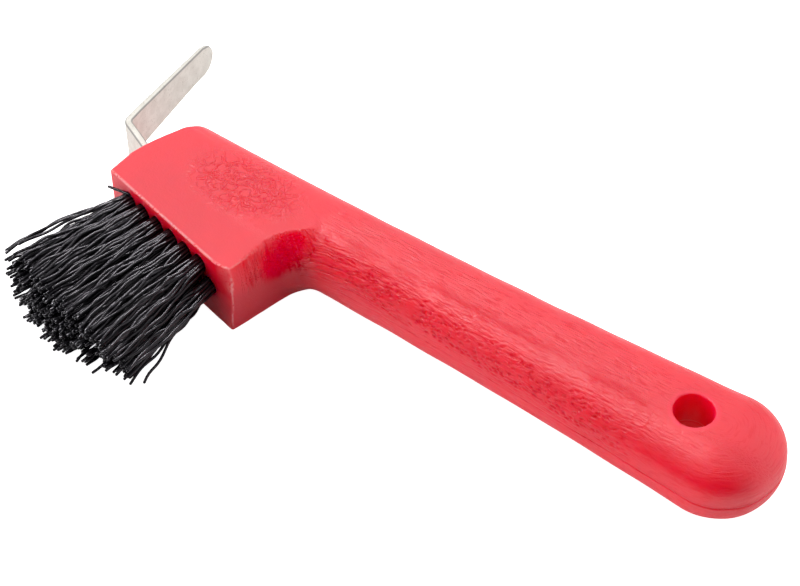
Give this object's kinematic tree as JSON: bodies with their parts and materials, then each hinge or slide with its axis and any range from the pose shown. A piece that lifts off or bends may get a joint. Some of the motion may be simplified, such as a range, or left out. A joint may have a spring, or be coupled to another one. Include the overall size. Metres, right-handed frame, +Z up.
{
  "type": "hoof pick",
  "caption": "Hand tool for cleaning a horse's hoof: plastic handle with a hanging hole, bent steel pick at the head end and a stiff bristle brush beside it.",
  "frame": {"origin": "on the flat underside of the head, on the centre line of the bar", "axes": "+X along the bar to the butt, +Y to the side the pick points to, away from the brush, +Z up from the flat underside through the thickness"},
  "size_m": [0.1783, 0.0942, 0.018],
  "materials": {
    "red_plastic": "satin moulded polypropylene with a shallow wood-grain relief",
    "pick_steel": "dull zinc-plated strip steel, tumbled edges",
    "black_bristle": "crimped filaments, satin, cut ends",
    "anchor_wire": "flat drawn wire"
  },
  "bodies": {
    "root": {"handle": "red_plastic", "pick": "pick_steel", "tuft_top_1": "black_bristle", "tuft_anchor_top_1": "anchor_wire", "tuft_top_2": "black_bristle", "tuft_anchor_top_2": "anchor_wire", "tuft_top_3": "black_bristle", "tuft_anchor_top_3": "anchor_wire", "tuft_top_4": "black_bristle", "tuft_anchor_top_4": "anchor_wire", "tuft_top_5": "black_bristle", "tuft_anchor_top_5": "anchor_wire", "tuft_top_6": "black_bristle", "tuft_anchor_top_6": "anchor_wire", "tuft_middle_1": "black_bristle", "tuft_anchor_middle_1": "anchor_wire", "tuft_middle_2": "black_bristle", "tuft_anchor_middle_2": "anchor_wire", "tuft_middle_3": "black_bristle", "tuft_anchor_middle_3": "anchor_wire", "tuft_middle_4": "black_bristle", "tuft_anchor_middle_4": "anchor_wire", "tuft_middle_5": "black_bristle", "tuft_anchor_middle_5": "anchor_wire", "tuft_middle_6": "black_bristle", "tuft_anchor_middle_6": "anchor_wire", "tuft_middle_7": "black_bristle", "tuft_anchor_middle_7": "anchor_wire", "tuft_bottom_1": "black_bristle", "tuft_anchor_bottom_1": "anchor_wire", "tuft_bottom_2": "black_bristle", "tuft_anchor_bottom_2": "anchor_wire", "tuft_bottom_3": "black_bristle", "tuft_anchor_bottom_3": "anchor_wire", "tuft_bottom_4": "black_bristle", "tuft_anchor_bottom_4": "anchor_wire", "tuft_bottom_5": "black_bristle", "tuft_anchor_bottom_5": "anchor_wire", "tuft_bottom_6": "black_bristle", "tuft_anchor_bottom_6": "anchor_wire"}
  },
  "joints": []
}
